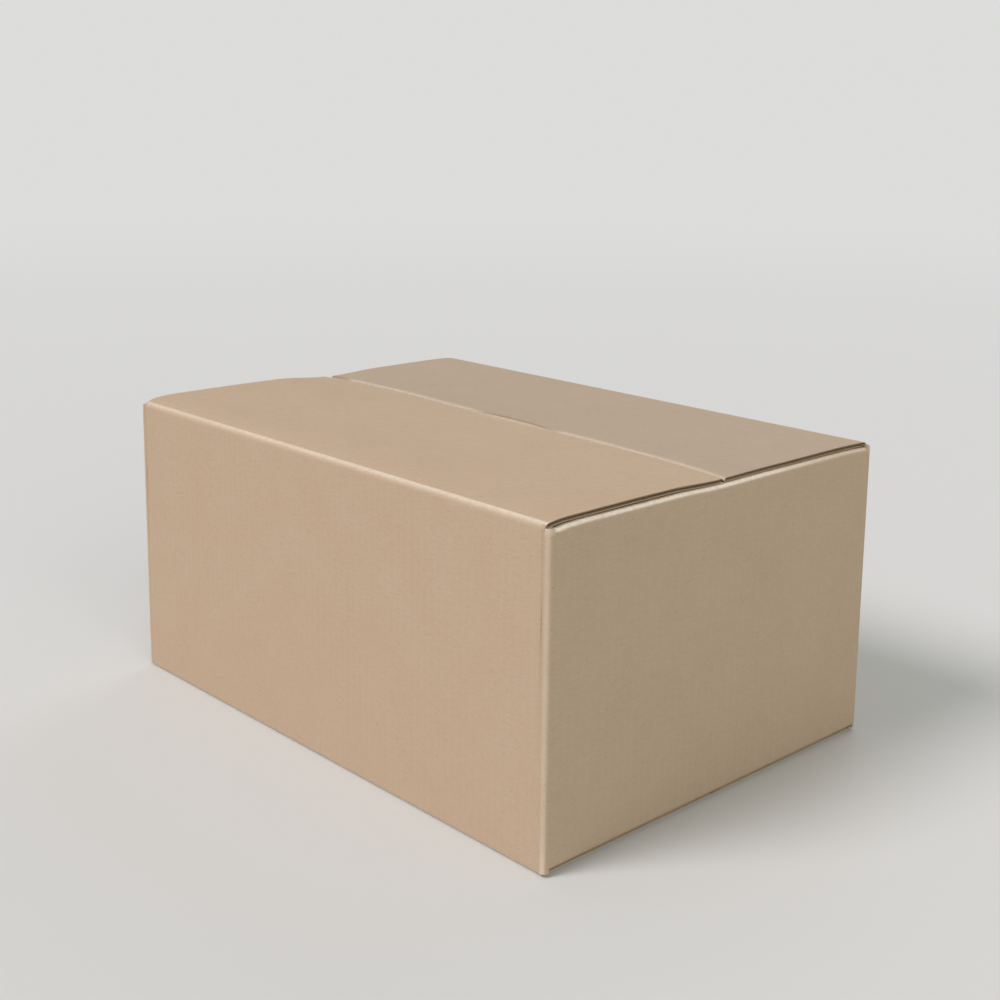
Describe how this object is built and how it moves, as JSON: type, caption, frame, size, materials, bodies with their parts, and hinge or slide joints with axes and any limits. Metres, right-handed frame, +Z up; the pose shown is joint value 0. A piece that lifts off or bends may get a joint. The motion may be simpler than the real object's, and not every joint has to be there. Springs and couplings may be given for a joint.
{
  "type": "closed cardboard box",
  "caption": "Closed slotted box of kraft corrugated board with a glued base, folded inner flaps and long outer top flaps that meet at a lengthwise seam and fold open.",
  "frame": {"origin": "middle of the base, on the surface the box stands on", "axes": "+X along the length from left to right as seen from the front, +Y from the front panel to the back panel, +Z up"},
  "size_m": [0.43, 0.305, 0.2092],
  "materials": {
    "kraft_board": "matte"
  },
  "bodies": {
    "carton": {"carton": "kraft_board"},
    "front_flap": {"front_top_flap": "kraft_board"},
    "rear_flap": {"rear_top_flap": "kraft_board"}
  },
  "joints": [
    {"name": "front_flap_fold", "type": "hinge", "parent": "carton", "child": "front_flap", "pos_m": [0, -0.1525, 0.205], "axis": [1, 0, 0], "range_deg": [0, 250]},
    {"name": "rear_flap_fold", "type": "hinge", "parent": "carton", "child": "rear_flap", "pos_m": [0, 0.1525, 0.205], "axis": [-1, 0, 0], "range_deg": [0, 250]}
  ]
}
